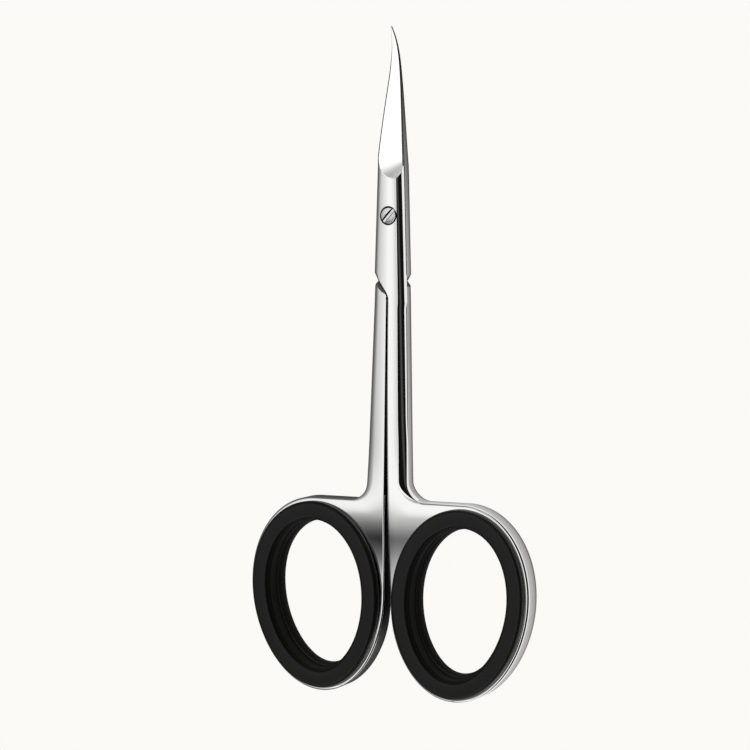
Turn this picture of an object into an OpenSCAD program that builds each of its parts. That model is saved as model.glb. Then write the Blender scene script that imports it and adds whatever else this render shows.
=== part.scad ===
// Cuticle scissors, closed, lying on the rear faces of their finger inserts.
// Sizes are in millimetres. X runs across the bows, Y towards the tips and Z
// towards the side that carries the screw head. The origin lies at mid length
// and mid width, on the surface that the scissors rest on.

/* [Overall] */
// Length from the bottom of the bows to the tips
total_length = 103; // [96:0.5:114]
// Width across both bows when closed
overall_width = 47; // [44:0.5:52]
// Thickness of each metal half
metal_t = 3.4; // [3:0.1:4]

/* [Bows] */
// Height of one bow
bow_height = 30.4; // [28:0.1:34]
// Lean of a bow's long axis, with the tops outward, in degrees
bow_lean = 5.25; // [0:0.25:8]
// How much fuller a bow's upper half is than its lower half
bow_egg = 0.045; // [0:0.005:0.08]
// Space between the two bows when closed
bow_gap = 1.1; // [0.6:0.1:2]
// Width of the metal band round a finger hole
bow_band = 1.9; // [1.6:0.1:2.6]
// Rounding of a bow's outer edges
bow_round = 0.45; // [0.2:0.05:0.6]

/* [Shanks] */
// Half width of the closed pair where the shanks leave the bows
shank_half = 3.3; // [3:0.05:4]
// Radius between a shank and the top of its bow
fillet_r = 3; // [2:0.25:4]
// Width of the crowned edge where a shank leaves its bow
crown_w = 1; // [0.5:0.1:1.4]
// Depth of the crowned edges
crown_depth = 0.5; // [0.2:0.05:0.6]
// Width of the softened edges along the gap between the halves
inner_crown = 0.25; // [0.1:0.05:0.4]
// Space between the shanks at their upper end
shank_gap = 0.14; // [0.1:0.02:0.4]
// How far the gap between the shanks lies to the rear half's side
gap_shift = 0.43; // [0:0.01:0.5]

/* [Lap joint] */
// Distance from the pivot to the tips
blade_length = 28.8; // [24:0.5:34]
// Distance from the pivot down to the side notches
notch_drop = 9.7; // [8:0.1:13]
// Depth of the side notches
notch_depth = 0.56; // [0.2:0.02:0.7]
// Height of the upper side of a side notch
notch_upper = 1; // [0.5:0.05:1.2]
// Height of the lower side of a side notch
notch_lower = 1.2; // [0.6:0.05:1.6]
// Fall of the slanting shoulders from the notch to the middle
shoulder_fall = 2.2; // [1:0.1:3]
// Width of the softened edges of the slanting shoulders
corner_crown = 0.1; // [0.05:0.01:0.2]
// Space between the slanting shoulders when closed
shoulder_gap = 0.2; // [0.1:0.05:0.4]
// Width of the bevel on a slanting shoulder, at the notch
bevel_outer = 0.9; // [0.4:0.05:1]
// Width of the bevel on a slanting shoulder, at the middle
bevel_inner = 0.35; // [0.2:0.05:0.5]
// Width of the crowned edges of the joint
joint_crown_w = 0.7; // [0.2:0.05:0.8]
// How far each half stands out past the other's shank above the notch
joint_proud = 0.1; // [0:0.02:0.2]
// Running space between the two lapped faces
lap_clearance = 0.04; // [0.02:0.01:0.1]

/* [Blades] */
// Distance from the pivot to the root of the blades
root_rise = 7.8; // [6.5:0.1:9]
// Half width of the closed pair at the root of the blades
root_half = 1.9; // [1.6:0.05:2.3]
// Half width of each tip
tip_half = 0.06; // [0.05:0.01:0.15]
// Outward bulge of the backs of the blades
back_bulge = 0.13; // [0:0.01:0.25]
// How far each cutting edge stays inside the other blade's back, at the root
edge_setback = 0.12; // [0.08:0.02:0.35]
// Height of the ground flat's centre line above the inner face, at the root
flat_root = 1; // [0.8:0.05:1.2]
// Height of the ground flat's centre line above the inner face, at the tip
flat_tip = 0.2; // [0.16:0.02:0.4]
// Slope of the ground flat across the blade, in degrees
flat_slope = 18; // [12:1:22]
// Radius of the wheel mark where the grinding runs out over the joint
wheel_r = 4.5; // [3:0.25:8]
// Depth of the wheel mark
mark_depth = 0.3; // [0.2:0.02:0.4]
// Width of the bevel along the back of a blade
spine_w = 0.24; // [0.1:0.02:0.35]
// Depth of the bevel along the back of a blade
spine_depth = 0.14; // [0.06:0.02:0.2]
// How far the blades belly to the rear before they turn forward
belly = 1.75; // [0:0.05:2]
// How far the tips hook forward of the joint face
hook = 0.9; // [0:0.1:1.4]

/* [Pivot screw] */
// Diameter of the screw head
head_d = 2.5; // [2.1:0.1:2.8]
// Height of the screw head
head_h = 0.6; // [0.5:0.05:0.8]
// How far the head stands proud of the joint
head_proud = 0.08; // [0:0.02:0.2]
// Rounding of the head's rim
head_round = 0.14; // [0.05:0.01:0.2]
// Diameter of the screw's shank
screw_d = 1.4; // [1.2:0.1:1.6]
// Running space round the shank, on the radius
pivot_clearance = 0.04; // [0.02:0.01:0.08]
// Space round the head in its seat, on the radius
seat_clearance = 0.14; // [0.06:0.02:0.2]
// Depth of thread that bites into the rear half, on the radius
thread_bite = 0.05; // [0.02:0.01:0.08]
// How far the screw's end lies below the rear face
end_recess = 0.1; // [0:0.05:0.3]
// Width of the driver slot
slot_w = 0.46; // [0.25:0.02:0.6]
// Depth of the driver slot
slot_depth = 0.32; // [0.2:0.02:0.4]
// Direction of the driver slot, in degrees from the X axis
slot_angle = 48; // [0:1:180]

/* [Finger inserts] */
// Thickness of a finger insert
insert_t = 5.9; // [5:0.1:7]
// Width of a flange from its outer edge to the finger hole
flange_w = 2.9; // [2.6:0.1:3.4]
// Bare metal left outside a flange
flange_inset = 0.6; // [0.4:0.05:0.8]
// Rounding of a flange's outer edge
flange_round = 0.7; // [0.4:0.05:0.9]
// Width of the sloping lip round the finger hole
lip_w = 0.75; // [0.4:0.05:0.9]
// Depth of the sloping lip round the finger hole
lip_depth = 0.85; // [0.5:0.05:1.1]
// Depth of the fine step below the lip
lip_step = 0.12; // [0.05:0.01:0.2]
// Space between an insert and the metal in its groove
insert_clearance = 0.03; // [0.02:0.01:0.06]

/* [Hidden] */

// Places along the scissors, measured from the bottom of the bows
pivot_y = total_length - blade_length;
root_y = pivot_y + root_rise;
notch_y = pivot_y - notch_drop;
shoulder_y = notch_y - shoulder_fall;
shank_y = bow_height + fillet_r;

// Steps round a bow, on an arc, on a rounded edge and along a blade
bow_steps = 72;
arc_steps = 6;
edge_steps = 3;
blade_steps = 12;
// Facets of everything that is round about the pivot
round_facets = 96;
// Overlap that carries a cut past a face
past = 1;

// The bow's oval: half axes that give its height and width at its lean
bow_width = (overall_width - bow_gap) / 2;
lean_c = pow(cos(bow_lean), 2);
lean_s = pow(sin(bow_lean), 2);
half_sq_x = pow(bow_width / 2, 2);
half_sq_y = pow(bow_height / 2, 2);
oval_a = sqrt((half_sq_x * lean_c - half_sq_y * lean_s) / (lean_c - lean_s));
oval_b = sqrt((half_sq_y * lean_c - half_sq_x * lean_s) / (lean_c - lean_s));
// Angles on the oval of its innermost and lowest points
oval_in = 180 + atan(oval_b / oval_a * tan(bow_lean));
oval_bottom = 270 + atan(oval_a / oval_b * tan(bow_lean));

function lean(p) = [
    p[0] * cos(bow_lean) + p[1] * sin(bow_lean),
    p[1] * cos(bow_lean) - p[0] * sin(bow_lean)
];
function oval_point(t) = lean([oval_a * cos(t) * (1 + bow_egg * sin(t)), oval_b * sin(t)]);
function unit(v) = v / norm(v);
// Outward normal of the oval, from two close points on it
function oval_normal(t) =
    let (along = oval_point(t + 0.5) - oval_point(t - 0.5))
    unit([along[1], -along[0]]);
oval_points = [for (i = [0:359]) oval_point(i)];
bow_centre = [
    bow_gap / 2 - min([for (p = oval_points) p[0]]),
    -min([for (p = oval_points) p[1]])
];
// Point of the bow's outer edge at angle t, moved outward by a distance
function bow_point(t, out) = bow_centre + oval_point(t) + out * oval_normal(t);

// Half width of the closed pair at height y, along its straight taper
function pair_half(y) = shank_half + (root_half - shank_half) * (y - shank_y) / (root_y - shank_y);
// Share of the way from the root to the tip
function along_blade(y) = (y - root_y) / (total_length - root_y);
// Half width of the closed blades at height y
function blade_half(y) =
    let (f = along_blade(y))
    root_half + (tip_half - root_half) * f + 4 * back_bulge * f * (1 - f);
// Half width at the back of a blade, which carries the joint's overhang on
function back_half(y) = blade_half(y) + joint_proud * (1 - along_blade(y));
// Set-back of a cutting edge at height y, fading out at the tip
function setback(y) = edge_setback * (1 - along_blade(y));

// The blades' bend at radius r from the pivot, positive towards the rear:
// a belly that grows from the root, then a hook that takes over at the tip
bend_start = root_rise + 0.2;
bend_steps = 20;
belly_power = 1.4;
hook_power = 8;
function bend(r) =
    let (f = max(0, r - bend_start) / (blade_length - bend_start))
    belly * pow(f, belly_power) - (belly + hook) * pow(f, hook_power);

// Height of the ground flat's centre line above the inner face
function flat_height(y) = flat_root + (flat_tip - flat_root) * along_blade(y);

// A half as seen from its own outer side, bow on the right, as two chains of
// points that climb from the bottom of the bow to the tip in step with each
// other. Each point is [x, y, width of its crowned edge].
bow_half_steps = bow_steps / 2;
inward_steps = round(bow_half_steps * (oval_bottom - oval_in) / 180);
inner_steps = bow_half_steps - inward_steps;
inner_start = bow_point(oval_in, 0)[1];
// The inner chain lags behind the bow's top by these heights
inner_lag = 1.6;
fillet_lag = 0.8;
// Blunt corner where a slanting shoulder meets the gap between the shanks
corner_below = 0.4;
corner_above = 0.35;
corner_width = 0.5;
// Softened edge at the bottom of a side notch
notch_crown = 0.3;
// Last two places on the joint below the blades' roots
root_lead = 1.5;
root_ease = 0.5;
joint_heights = [
    shoulder_y - corner_below,
    shoulder_y + corner_above,
    notch_y,
    notch_y + notch_upper,
    root_y - root_lead,
    root_y - root_ease
];

// The gap widens with the cube of the way down from the shoulder to the bow,
// and its shift swells on that way by these shares of gap_shift
shift_top = 0.45;
shift_swell = 1.6;
function inner_x(y, side) =
    let (
        f = (joint_heights[0] - y) / (joint_heights[0] - inner_start),
        shift = gap_shift * (shift_top + shift_swell * f - (shift_top + shift_swell) * pow(f, 3))
    )
    shank_gap / 2 + (bow_gap - shank_gap) / 2 * pow(f, 3) - side * shift;
function crown_at(y) = crown_w + (joint_crown_w - crown_w) * (y - shank_y) / (root_y - shank_y);

outer_chain = concat(
    [
        for (i = [0:bow_half_steps])
        let (p = bow_point(oval_bottom + 180 * i / bow_half_steps, 0))
        [p[0], p[1], bow_round]
    ],
    [
        for (i = [0:arc_steps])
        let (t = 270 - 90 * i / arc_steps)
        [
            shank_half + fillet_r * (1 + cos(t)),
            shank_y + fillet_r * sin(t),
            bow_round + (crown_w - bow_round) * i / arc_steps
        ]
    ],
    [for (y = joint_heights) [pair_half(y), y, crown_at(y)]],
    [
        for (i = [0:blade_steps])
        let (y = root_y + (total_length - root_y) * i / blade_steps)
        [blade_half(y) - setback(y), y, 0]
    ]
);
function inner_chain(side) = concat(
    [
        for (i = [1:inward_steps])
        let (p = bow_point(oval_bottom - (oval_bottom - oval_in) * i / inward_steps, 0))
        [p[0], p[1], bow_round]
    ],
    [
        for (i = [1:inner_steps + 1])
        let (y = inner_start + (bow_height - inner_lag - inner_start) * i / (inner_steps + 1))
        [inner_x(y, side), y, inner_crown]
    ],
    [
        for (i = [0:arc_steps])
        let (y = bow_height - fillet_lag + (fillet_r + fillet_lag) * i / arc_steps)
        [inner_x(y, side), y, inner_crown]
    ],
    [
        [inner_x(joint_heights[0], side), joint_heights[0], inner_crown],
        [inner_x(joint_heights[0], side) - corner_width, joint_heights[1], corner_crown],
        [notch_depth - pair_half(notch_y), joint_heights[2], notch_crown],
        for (y = [joint_heights[3], joint_heights[4], joint_heights[5]])
        [-pair_half(y) - joint_proud, y, joint_crown_w]
    ],
    [
        for (i = [0:blade_steps])
        let (y = root_y + (total_length - root_y) * i / blade_steps)
        [-back_half(y), y, i == 0 ? joint_crown_w / 2 : 0]
    ]
);

// Moves point i of an outline inward by a share of its crowned edge's width,
// a little further at sharp corners, up to the limit
corner_limit = 0.5;
function inset_point(outline, i, share) =
    let (
        n = len(outline),
        a = outline[(i + n - 1) % n],
        b = outline[i],
        c = outline[(i + 1) % n],
        along_in = unit([b[0] - a[0], b[1] - a[1]]),
        along_out = unit([c[0] - b[0], c[1] - b[1]]),
        normal_in = [-along_in[1], along_in[0]],
        normal_out = [-along_out[1], along_out[0]],
        middle = unit(normal_in + normal_out),
        reach = b[2] * share / max(corner_limit, middle * normal_in)
    )
    [b[0] + middle[0] * reach, b[1] + middle[1] * reach];

// Solid plate between two chains, with quarter-oval crowned edges on both faces
module crowned_plate(outer, inner, thickness) {
    rungs = len(outer);
    outline = concat(outer, [for (i = [rungs - 1:-1:0]) inner[i]]);
    n = 2 * rungs;
    quarter = [for (k = [0:edge_steps]) 90 * k / edge_steps];
    upper = [for (q = quarter) [1 - cos(q), thickness / 2 - crown_depth * (1 - sin(q))]];
    lower = [for (k = [edge_steps:-1:0]) [upper[k][0], -upper[k][1]]];
    levels = concat(lower, upper);
    top = (len(levels) - 1) * n;
    points = [
        for (level = levels, i = [0:n - 1])
        let (p = inset_point(outline, i, level[0]))
        [p[0], p[1], level[1]]
    ];
    sides = [
        for (k = [0:len(levels) - 2], i = [0:n - 1])
        let (j = (i + 1) % n)
        [k * n + i, (k + 1) * n + i, (k + 1) * n + j, k * n + j]
    ];
    floor_faces = [for (i = [0:rungs - 2]) [i, i + 1, n - 2 - i, n - 1 - i]];
    roof_faces = [for (f = floor_faces) [top + f[3], top + f[2], top + f[1], top + f[0]]];
    polyhedron(points, concat(floor_faces, sides, roof_faces), convexity = 8);
}

// Everything behind a half's inner face, as a solid turned about the pivot,
// so that the two curved inner faces slide on each other at every angle
module behind_inner_face(side) {
    reach = blade_length + 2 * past;
    profile = [
        for (i = [0:bend_steps])
        let (r = bend_start + (reach - bend_start) * i / bend_steps)
        [r, lap_clearance / 2 - side * bend(min(r, blade_length))]
    ];
    translate([0, pivot_y])
    rotate_extrude($fn = round_facets)
    polygon(concat([[0, -metal_t], [0, lap_clearance / 2]], profile, [[reach, -metal_t]]));
}

// Where a half's slanting shoulder starts, beside the gap, and where it ends
function shoulder_start(side) = [
    corner_width - inner_x(joint_heights[0], -side), joint_heights[1] - shoulder_gap
];
shoulder_end = [pair_half(notch_y) - notch_depth, notch_y - shoulder_gap];

// Plan of the part of a half that is only one layer thick
module lap_region(side) {
    lower_y = notch_y - notch_lower;
    overrun = 0.02;
    polygon([
        [-overall_width, joint_heights[0] - shoulder_gap],
        [inner_x(joint_heights[0], side), joint_heights[0] - shoulder_gap],
        shoulder_start(side),
        shoulder_end,
        [pair_half(lower_y) + overrun, lower_y],
        [overall_width, lower_y],
        [overall_width, total_length + past],
        [-overall_width, total_length + past]
    ]);
}

// Bevel between a slanting shoulder and the face beside it, wider at the notch
module shoulder_bevel(side) {
    start = shoulder_start(side);
    run = shoulder_end - start;
    extra = 0.5;
    translate([shoulder_end[0], shoulder_end[1], -metal_t / 2])
    rotate([90, 0, -atan2(run[0], run[1])])
    linear_extrude(norm(run), scale = bevel_inner / bevel_outer)
    polygon(bevel_outer * [[1 + extra, -extra], [-extra, 1 + extra], [-extra, -extra]]);
}

// The grinding wheel's path over the blade's outer face. It comes down in a
// curve of this radius and reaches the flat this far past the root.
flat_lead = 1.3;
runout_r = 3;
module ground_flat(side) {
    top = metal_t / 2 + past;
    far = total_length + past;
    start = root_y + flat_lead;
    base = flat_height(start);
    mark = [
        for (i = [arc_steps:-1:1])
        let (rise = (top - base) * i / arc_steps)
        [start - sqrt(2 * runout_r * rise), base + rise]
    ];
    flat = [
        for (i = [0:blade_steps])
        let (y = start + (far - start) * i / blade_steps)
        [y, flat_height(y) + lap_clearance / 2 - side * bend(min(y - pivot_y, blade_length))]
    ];
    path = [for (p = concat(mark, flat)) [p[0], p[1] * cos(flat_slope)]];
    rotate([0, flat_slope, 0])
    rotate([90, 0, 90])
    translate([0, 0, -2 * root_half])
    linear_extrude(4 * root_half)
    polygon(concat(path, [[far, metal_t + past], [path[0][0], metal_t + past]]));
}

// Curved mark that the grinding wheel leaves across the joint's face. Its
// deepest line lies this far below the blades' roots.
mark_lead = 0.2;
module wheel_mark() {
    translate([-2 * root_half, root_y - mark_lead, metal_t / 2 - mark_depth + wheel_r])
    rotate([0, 90, 0])
    cylinder(h = 4 * root_half, r = wheel_r, $fn = round_facets);
}

// Bevel along the back of a blade, as a wedge swept from below the root past
// the tip. It narrows to almost nothing over this length before the tip.
spine_fade = 7;
spine_least = 0.08;
module spine_bevel(side) {
    far = total_length + past;
    points = [
        for (i = [0:blade_steps + 1])
        let (
            y = root_y - root_ease + (far - root_y + root_ease) * i / (blade_steps + 1),
            share = max(spine_least, min(1, (total_length - y) / spine_fade)),
            w = spine_w * share,
            d = spine_depth * share,
            back = -back_half(min(y, total_length)),
            inner = lap_clearance / 2 - side * bend(min(y - pivot_y, blade_length)),
            top = inner + flat_height(y) - (back + w) * tan(flat_slope)
        )
        each [[back + 2 * w, y, top + d], [back - w, y, top + d], [back - w, y, top - 2 * d]]
    ];
    last = len(points) - 3;
    polyhedron(points, concat(
        [[2, 1, 0], [last, last + 1, last + 2]],
        [
            for (i = [0:blade_steps], k = [0:2])
            let (a = 3 * i, l = (k + 1) % 3)
            [a + k, a + l, a + 3 + l, a + 3 + k]
        ]
    ));
}

// One half: bow, shank, lap and blade carved from one crowned blank.
// side is 1 for the front half and -1 for the rear half, which is seen
// from its own outer side here and turned over afterwards.
module scissor_half(side) {
    difference() {
        crowned_plate(outer_chain, inner_chain(side), metal_t);
        translate([0, 0, -metal_t])
        linear_extrude(2 * metal_t)
        polygon([
            for (i = [0:bow_steps - 1])
            bow_point(360 * i / bow_steps, -bow_band)
        ]);
        intersection() {
            behind_inner_face(side);
            translate([0, 0, -metal_t]) linear_extrude(3 * metal_t) lap_region(side);
        }
        shoulder_bevel(side);
        ground_flat(side);
        wheel_mark();
        spine_bevel(side);
    }
}

// Puts a piece drawn about the joint's middle into place
module place() {
    translate([0, -total_length / 2, insert_t / 2]) children();
}

// Front half: front blade, right shank and right bow, with the running bore
module front_half() {
    seat_d = head_d + 2 * seat_clearance;
    seat_depth = head_h - head_proud + pivot_clearance;
    color("silver")
    place()
    difference() {
        scissor_half(1);
        translate([0, pivot_y, -metal_t])
        cylinder(h = 2 * metal_t, d = screw_d + 2 * pivot_clearance, $fn = round_facets);
        translate([0, pivot_y, metal_t / 2 - seat_depth])
        cylinder(h = seat_depth + past, d = seat_d, $fn = round_facets);
    }
}

// Rear half: rear blade, left shank and left bow, with the threaded hole
module rear_half() {
    color("silver")
    place()
    rotate([0, 180, 0])
    difference() {
        scissor_half(-1);
        translate([0, pivot_y, -metal_t])
        cylinder(h = 2 * metal_t, d = screw_d - 2 * thread_bite, $fn = round_facets);
    }
}

// Pivot screw with a rounded, slotted head
module pivot_screw() {
    head_r = head_d / 2;
    top = metal_t / 2 + head_proud;
    rim = [
        for (k = [0:edge_steps])
        let (q = 90 * k / edge_steps)
        [head_r - head_round * (1 - cos(q)), top - head_round * (1 - sin(q))]
    ];
    color("gainsboro")
    place()
    translate([0, pivot_y])
    difference() {
        rotate_extrude($fn = round_facets)
        polygon(concat(
            [
                [0, end_recess - metal_t / 2],
                [screw_d / 2, end_recess - metal_t / 2],
                [screw_d / 2, top - head_h],
                [head_r, top - head_h]
            ],
            rim,
            [[0, top]]
        ));
        rotate(slot_angle)
        translate([-head_d, -slot_w / 2, top - slot_depth])
        cube([2 * head_d, slot_w, slot_depth + past]);
    }
}

// Half of an insert's section from its mid plane up: [outward from the
// flange's outer edge, height]
groove_depth = bow_band - flange_inset;
flange_arc = [
    for (k = [0:edge_steps])
    let (q = 90 * k / edge_steps)
    [-flange_round * (1 - cos(q)), insert_t / 2 - flange_round * (1 - sin(q))]
];
lip_arc = [
    for (k = [0:edge_steps])
    let (q = 90 * k / edge_steps)
    [
        -flange_w + lip_step + (lip_w - lip_step) * (1 - sin(q)),
        insert_t / 2 - lip_depth * (1 - cos(q))
    ]
];
insert_upper = concat(
    [
        [-groove_depth - insert_clearance, metal_t / 2 + insert_clearance],
        [0, metal_t / 2 + insert_clearance]
    ],
    flange_arc,
    lip_arc,
    [[-flange_w, insert_t / 2 - lip_depth - lip_step]]
);
insert_section = concat(
    insert_upper,
    [for (i = [len(insert_upper) - 1:-1:0]) [insert_upper[i][0], -insert_upper[i][1]]]
);

// Grooved finger insert round the right bow, as one closed sweep
module finger_insert() {
    n = len(insert_section);
    points = [
        for (i = [0:bow_steps - 1], p = insert_section)
        let (q = bow_point(360 * i / bow_steps, p[0] - flange_inset))
        [q[0], q[1], p[1]]
    ];
    faces = [
        for (i = [0:bow_steps - 1], k = [0:n - 1])
        let (j = (i + 1) % bow_steps, l = (k + 1) % n)
        [i * n + k, i * n + l, j * n + l, j * n + k]
    ];
    color("#262626") polyhedron(points, faces, convexity = 6);
}

module right_finger_insert() {
    place() finger_insert();
}

module left_finger_insert() {
    place() rotate([0, 180, 0]) finger_insert();
}

front_half();
rear_half();
pivot_screw();
left_finger_insert();
right_finger_insert();
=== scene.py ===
"""Cuticle scissors, closed, lying on a pale studio floor.

The two steel halves, the screw and the finger inserts are modelled finely in
millimetres about the middle of the joint, in the halves' own frame: bow on the
right, tips up, screw head towards the viewer. They are then moved into the
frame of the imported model, in metres.
"""
import math

import bmesh
import bpy
from mathutils import Matrix, Vector


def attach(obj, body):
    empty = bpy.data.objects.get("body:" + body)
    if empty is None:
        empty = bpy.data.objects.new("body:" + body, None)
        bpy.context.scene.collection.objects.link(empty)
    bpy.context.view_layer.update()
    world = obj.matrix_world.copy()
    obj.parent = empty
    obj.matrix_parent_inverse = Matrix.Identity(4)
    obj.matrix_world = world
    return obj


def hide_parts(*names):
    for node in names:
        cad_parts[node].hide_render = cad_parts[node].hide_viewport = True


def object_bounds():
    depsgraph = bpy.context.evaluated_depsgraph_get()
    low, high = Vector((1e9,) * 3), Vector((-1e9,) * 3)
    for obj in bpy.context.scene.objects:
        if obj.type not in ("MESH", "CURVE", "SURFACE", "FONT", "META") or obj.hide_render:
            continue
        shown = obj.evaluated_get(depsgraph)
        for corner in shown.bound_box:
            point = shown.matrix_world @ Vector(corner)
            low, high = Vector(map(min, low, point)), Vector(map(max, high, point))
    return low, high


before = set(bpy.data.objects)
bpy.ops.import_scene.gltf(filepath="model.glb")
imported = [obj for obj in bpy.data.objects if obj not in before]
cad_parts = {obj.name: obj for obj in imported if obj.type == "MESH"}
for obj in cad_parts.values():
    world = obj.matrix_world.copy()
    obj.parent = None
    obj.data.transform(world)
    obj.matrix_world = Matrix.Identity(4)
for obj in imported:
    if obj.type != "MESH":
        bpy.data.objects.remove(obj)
cad_low, cad_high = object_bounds()

MM = 0.001

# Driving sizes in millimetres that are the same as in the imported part
TOTAL_LENGTH = (cad_high.y - cad_low.y) / MM
OVERALL_WIDTH = 47.0
METAL_T = 3.4
BOW_HEIGHT = 30.4
BOW_LEAN = math.radians(5.25)
BOW_EGG = 0.045
BOW_GAP = 1.1
BOW_BAND = 1.9
SHANK_HALF = 3.3
FILLET_R = 3.0
SHANK_GAP = 0.14
BLADE_LENGTH = 28.8
NOTCH_DROP = 9.7
NOTCH_LOWER = 1.2
SHOULDER_FALL = 2.2
SHOULDER_GAP = 0.2
BEVEL_OUTER = 0.9
BEVEL_INNER = 0.35
JOINT_PROUD = 0.1
LAP_CLEARANCE = 0.04
ROOT_RISE = 7.8
ROOT_HALF = 1.9
TIP_HALF = 0.06
BACK_BULGE = 0.13
EDGE_SETBACK = 0.12
FLAT_ROOT = 1.0
FLAT_TIP = 0.2
FLAT_SLOPE = math.radians(18)
SPINE_W = 0.24
SPINE_DEPTH = 0.14
SPINE_FADE = 7.0
BELLY = 1.75
HOOK = 0.9
HEAD_D = 2.5
HEAD_H = 0.6
HEAD_PROUD = 0.08
SCREW_D = 1.4
PIVOT_CLEARANCE = 0.04
SEAT_CLEARANCE = 0.14
THREAD_BITE = 0.05
END_RECESS = 0.1
SLOT_W = 0.46
SLOT_DEPTH = 0.32
SLOT_ANGLE = math.radians(48)
INSERT_T = 5.9
FLANGE_W = 2.9
FLANGE_INSET = 0.6
FLANGE_ROUND = 0.7
LIP_W = 0.75
LIP_DEPTH = 0.85
LIP_STEP = 0.12
INSERT_CLEARANCE = 0.03
# How far a cutting shape reaches past what it cuts
PAST = 1.0

# From here on, sizes that this model has for itself. Sizes with two values have
# one for the front half, side 1, and one for the rear half, side -1.

# How far the gap between the shanks bows, and leans at its lower end, to the
# rear half's side
GAP_SHIFT = 0.19
GAP_LEAN = 0.11
# Notch above a half's shoulder: its depth and its height above its lowest point
NOTCH_DEPTH = {1: 0.56, -1: 0.32}
NOTCH_UPPER = {1: 1.0, -1: 0.75}
# Rounded corner between the gap and the shoulder: how far below the shoulder's
# foot it starts, how high it turns, how far above the foot it ends, its width
CORNER_BELOW = 1.3
CORNER_TURN = 1.02
CORNER_ABOVE = 0.57
CORNER_WIDTH = 0.7
# How far the shanks lean to the rear half's side where they meet the bows
SHANK_LEAN = 0.25
# Ledge in the rear part of an insert's hole
LEDGE_W = 0.42
# Where the grinding wheel reaches full depth on the blade's middle line, how
# that line slants and bows across the blade, and the curve that it leaves
RUNOUT_Y = 83.03
WHEEL_YAW = 0.28
WHEEL_BOW = 0.06
RUNOUT_R = 6.0
# The screw's rounded rim, the crown of its head, the chamfers of its slot and
# of its seat
HEAD_ROUND = 0.14
HEAD_DOME = 0.09
SLOT_CHAMFER = 0.18
SEAT_RIM = 0.08

# Softened edges, as (width, depth)
BOW_EDGE = (0.4, 0.4)
SHANK_EDGE = {1: (1.15, 0.68), -1: (1.15, 0.42)}
JOINT_EDGE = (0.7, 0.6)
ROUNDED_EDGE = (0.75, 0.4)
WIDE_GAP_EDGE = (0.35, 0.25)
GAP_EDGE = (0.2, 0.17)
CORNER_EDGE = (0.2, 0.17)
NOTCH_EDGE = (0.3, 0.25)
BACK_EDGE = (0.15, 0.15)
# How squarely the front half's outer edge and all others turn: 1 is a flat
# chamfer and 2 a round
CHAMFER_POWER = 1.18
ROUND_POWER = 1.75
# Tilt that the crowned face of the closed pair reaches at its edges
CROWN_TILT = math.radians(10)
# Heights between which the crown fades out towards the bows
CROWN_FADE = (28.0, 40.0)
# Dish where a shank spreads into its bow: heights where it starts, is steepest
# and has levelled out, and its steepest slope on each side
DISH_Y = (32.0, 24.5, 18.0)
DISH_SLOPE = {1: math.radians(2.0), -1: math.radians(2.85)}
# Heights over which the dish starts inside the bow, and distances from the
# middle line over which it ends beside the shank
DISH_FOOT = (8, 16)
DISH_SIDE = (9, 13)
# Share of the crown that the faces at the back have
BACK_CROWN = 0.3
# Step between the polished and the belt-ground part of a shank's side: its
# height at the shoulder and lower down, where it ends, and its depth
STEP_Z = (0.15, 0.3)
STEP_END = 39.0
STEP_DEPTH = 0.08

PIVOT_Y = TOTAL_LENGTH - BLADE_LENGTH
ROOT_Y = PIVOT_Y + ROOT_RISE
NOTCH_Y = PIVOT_Y - NOTCH_DROP
SHOULDER_Y = NOTCH_Y - SHOULDER_FALL
SHANK_Y = BOW_HEIGHT + FILLET_R
# Radius from the pivot where the blades' bend starts
BEND_START = ROOT_RISE + 0.2

# Finishes of the forged blank, in the order of its materials; the third is dark steel painted
# where shade falls
POLISHED, BRUSHED, PAINTED_SHADE = 0, 1, 2
# Faces higher than the first, or nearer to the mid plane than the second, are
# part of the side wall
WALL_LEAST = 0.6
WALL_REACH = 0.9

# Steps of the fine meshes
BOW_STEPS = 96
LINE_STEPS = 14
FILLET_STEPS = 20
SHANK_STEPS = 90
JOINT_STEPS = 60
BLADE_STEPS = 60
EDGE_STEPS = 9
FACE_STEPS = 22
ROUND_STEPS = 96


def linear(code):
    """An sRGB hex colour as linear red, green, blue and alpha"""
    channels = [int(code[i:i + 2], 16) / 255 for i in (1, 3, 5)]
    return [c / 12.92 if c <= 0.04045 else ((c + 0.055) / 1.055) ** 2.4 for c in channels] + [1.0]


def add_node(tree, kind, inputs=None, **settings):
    """One node with its settings, and with values or links on its inputs"""
    node = tree.nodes.new(kind)
    for name, value in settings.items():
        setattr(node, name, value)
    for name, value in (inputs or {}).items():
        if isinstance(value, bpy.types.NodeSocket):
            tree.links.new(value, node.inputs[name])
        else:
            node.inputs[name].default_value = value
    return node


def fill_ramp(ramp, stops):
    """Sets a colour ramp's stops from (position, grey level) pairs"""
    elements = ramp.color_ramp.elements
    while len(elements) > 1:
        elements.remove(elements[-1])
    elements[0].position = stops[0][0]
    elements[0].color = [stops[0][1]] * 3 + [1.0]
    for position, level in stops[1:]:
        elements.new(position).color = [level] * 3 + [1.0]


def new_material(name):
    material = bpy.data.materials.new(name)
    material.use_nodes = True
    tree = material.node_tree
    return material, tree, tree.nodes["Principled BSDF"]


def stretched_grain(tree, spacing, seed):
    """Fine lines of a polishing belt or wheel. spacing gives, in millimetres,
    how far apart the grain changes along X, Y and Z."""
    place = add_node(tree, "ShaderNodeTexCoord").outputs["Object"]
    grain = add_node(tree, "ShaderNodeMapping", {
        "Vector": place,
        "Location": (seed, seed, seed),
        "Scale": [1 / (gap * MM) for gap in spacing],
    })
    return add_node(tree, "ShaderNodeTexNoise", {
        "Vector": grain.outputs["Vector"], "Scale": 1.0, "Detail": 2.0,
    })


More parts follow.
